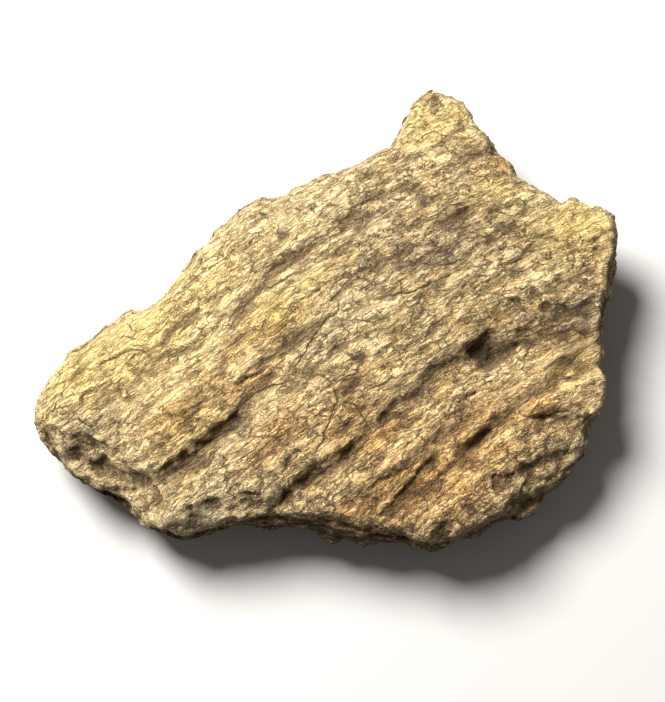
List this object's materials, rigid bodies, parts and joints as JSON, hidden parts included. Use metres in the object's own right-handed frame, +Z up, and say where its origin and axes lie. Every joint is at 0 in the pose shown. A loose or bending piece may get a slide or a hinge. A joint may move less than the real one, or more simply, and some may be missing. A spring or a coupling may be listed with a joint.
{
  "type": "fossil dinosaur frill fragment",
  "caption": "Flat slab of rough fossil frill bone, broken all round, with blood vessel grooves across its upper face; lies on its underside for display.",
  "frame": {"origin": "middle of the plan's bounding box, on the plane that the fragment rests on", "axes": "+X along the slab's long side, from the blunt broken end to the right-hand tip; +Y in the plane of the slab, from the thick lower break to the peak; +Z up, out of the grooved face"},
  "size_m": [0.1217, 0.0963, 0.0277],
  "materials": {
    "fossil_bone": "matt, rough and fibrous, yellow-brown with dark brown cracks"
  },
  "bodies": {
    "root": {"frill_fragment": "fossil_bone"}
  },
  "joints": []
}
